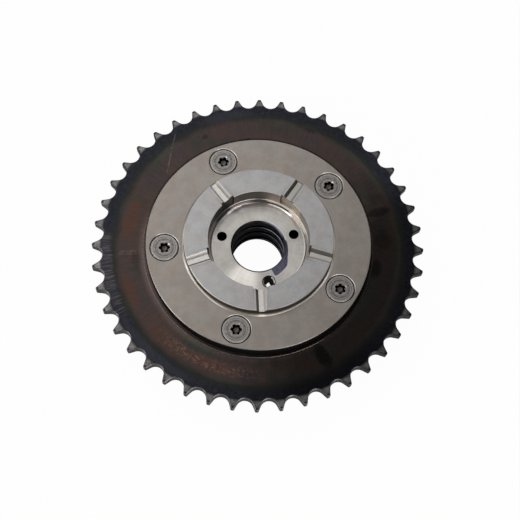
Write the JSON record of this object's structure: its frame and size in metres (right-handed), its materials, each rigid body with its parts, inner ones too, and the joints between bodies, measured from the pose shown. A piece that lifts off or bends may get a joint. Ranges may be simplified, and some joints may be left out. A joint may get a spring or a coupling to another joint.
{
  "type": "cam phaser",
  "caption": "Vane-type cam phaser: a toothed chain sprocket made in one with its vane housing, a screwed cover and far plate, and a slotted rotor that swings inside.",
  "frame": {"origin": "on the cam axis, at the outer face of the far plate that the part rests on", "axes": "+Z along the cam axis, out of the camshaft side that the picture shows; +X to the picture's right and +Y away from its camera"},
  "size_m": [0.1356, 0.1356, 0.0303],
  "materials": {
    "oxide_steel": "dark oxide with blue-black and brown heat tint, bare tooth bevels",
    "ground_steel": "ground warm grey face, dark edge",
    "plate_steel": "turned plate face",
    "sintered_steel": "cool light grey ground ring, dark bore and recess wall",
    "screw_steel": "dark grey turned heads",
    "hardened_steel": "ground bright",
    "spring_steel": "drawn spring steel",
    "seal_plastic": "dark filled seal plastic"
  },
  "bodies": {
    "housing": {"sprocket_housing": "oxide_steel", "cam_side_cover": "ground_steel", "front_plate": "plate_steel", "lock_bush": "hardened_steel", "cover_screw_1": "screw_steel", "cover_screw_2": "screw_steel", "cover_screw_3": "screw_steel", "cover_screw_4": "screw_steel", "cover_screw_5": "screw_steel", "web_seal_1": "seal_plastic", "web_seal_2": "seal_plastic", "web_seal_3": "seal_plastic", "web_seal_4": "seal_plastic", "web_seal_5": "seal_plastic", "web_seal_spring_1": "spring_steel", "web_seal_spring_2": "spring_steel", "web_seal_spring_3": "spring_steel", "web_seal_spring_4": "spring_steel", "web_seal_spring_5": "spring_steel"},
    "rotor": {"rotor": "sintered_steel", "cam_dowel_pin": "spring_steel", "lock_pin_cap": "hardened_steel", "vane_seal_1": "seal_plastic", "vane_seal_2": "seal_plastic", "vane_seal_3": "seal_plastic", "vane_seal_4": "seal_plastic", "vane_seal_5": "seal_plastic", "vane_seal_spring_1": "spring_steel", "vane_seal_spring_2": "spring_steel", "vane_seal_spring_3": "spring_steel", "vane_seal_spring_4": "spring_steel", "vane_seal_spring_5": "spring_steel"},
    "lock_pin": {"lock_pin": "hardened_steel", "lock_spring": "spring_steel"}
  },
  "joints": [
    {"name": "rotor_swing", "type": "hinge", "parent": "housing", "child": "rotor", "pos_m": [0, 0, 0.013], "axis": [0, 0, 1], "range_deg": [0, 25]},
    {"name": "lock_pin_slide", "type": "slide", "parent": "rotor", "child": "lock_pin", "axis": [0, 0, 1], "range_m": [0, 0.0012], "stiffness_N_per_m": 400, "springref_m": -0.001, "deforming": ["lock_spring"]}
  ]
}
